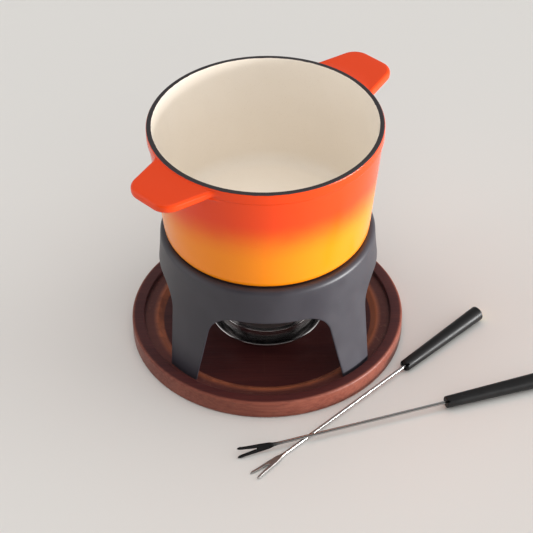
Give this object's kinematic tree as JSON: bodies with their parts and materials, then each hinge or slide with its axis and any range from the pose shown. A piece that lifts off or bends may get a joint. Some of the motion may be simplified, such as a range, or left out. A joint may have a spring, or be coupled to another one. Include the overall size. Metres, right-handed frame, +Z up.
{
  "type": "fondue pot set",
  "caption": "Round two-handled enamelled pot on a four-legged cast stand with an alcohol burner, on a turned wooden base, with long two-pronged forks beside it.",
  "frame": {"origin": "centre of the wooden base's underside, on the table", "axes": "+Z up; the stand's arches face +X, -X, +Y and -Y; the pot's two handle tabs point along +X+Y and -X-Y; the forks lie on the -Y side"},
  "size_m": [0.2993, 0.2592, 0.1845],
  "materials": {
    "mahogany_wood": "satin lacquer over a dark red-brown stain, worn lighter on the recess edge",
    "black_cast_iron": "satin black enamel",
    "flame_enamel": "glossy vitreous enamel, orange-red fading to yellow-orange at the foot, cream inside, bare black rim",
    "polished_steel": "polished stainless steel",
    "fork_steel": "polished stainless steel",
    "steel_gauze": "woven wire",
    "mineral_wool": "loose mineral wool",
    "black_phenolic": "moulded phenolic, satin",
    "black_handle_plastic": "moulded, semi-gloss",
    "yellow_plastic": "moulded",
    "blue_plastic": "moulded"
  },
  "bodies": {
    "base": {"wooden_base": "mahogany_wood"},
    "stand": {"cast_stand": "black_cast_iron"},
    "pot": {"pot": "flame_enamel"},
    "burner": {"burner_saucer": "polished_steel", "fuel_cup": "polished_steel", "wick_wadding": "mineral_wool", "wick_gauze": "steel_gauze", "burner_cover": "polished_steel"},
    "regulator": {"regulator_ring": "polished_steel", "lever_strip": "polished_steel", "lever_rivets": "polished_steel", "lever_grip": "black_phenolic"},
    "snuffer": {"snuffer_lid": "polished_steel", "snuffer_knob": "black_phenolic", "snuffer_screw": "polished_steel"},
    "fork_a": {"fork_a_tines": "fork_steel", "fork_a_handle": "black_handle_plastic", "fork_a_cap": "yellow_plastic"},
    "fork_b": {"fork_b_tines": "fork_steel", "fork_b_handle": "black_handle_plastic", "fork_b_cap": "blue_plastic"}
  },
  "joints": [
    {"name": "stand_lift", "type": "slide", "parent": "base", "child": "stand", "axis": [0, 0, 1], "range_m": [0, 0.09]},
    {"name": "pot_lift", "type": "slide", "parent": "stand", "child": "pot", "axis": [0, 0, 1], "range_m": [0, 0.12]},
    {"name": "burner_lift", "type": "slide", "parent": "base", "child": "burner", "axis": [0, 0, 1], "range_m": [0, 0.022]},
    {"name": "regulator_turn", "type": "hinge", "parent": "burner", "child": "regulator", "pos_m": [0, 0, 0.0258], "axis": [0, 0, 1], "range_deg": [0, 22.5]},
    {"name": "snuffer_lift", "type": "slide", "parent": "burner", "child": "snuffer", "axis": [0, 0, 1], "range_m": [0, 0.022]},
    {"name": "fork_a_lift", "type": "slide", "parent": "base", "child": "fork_a", "axis": [0, 0, 1], "range_m": [0, 0.1]},
    {"name": "fork_b_lift", "type": "slide", "parent": "fork_a", "child": "fork_b", "axis": [0, 0, 1], "range_m": [0, 0.1]}
  ]
}
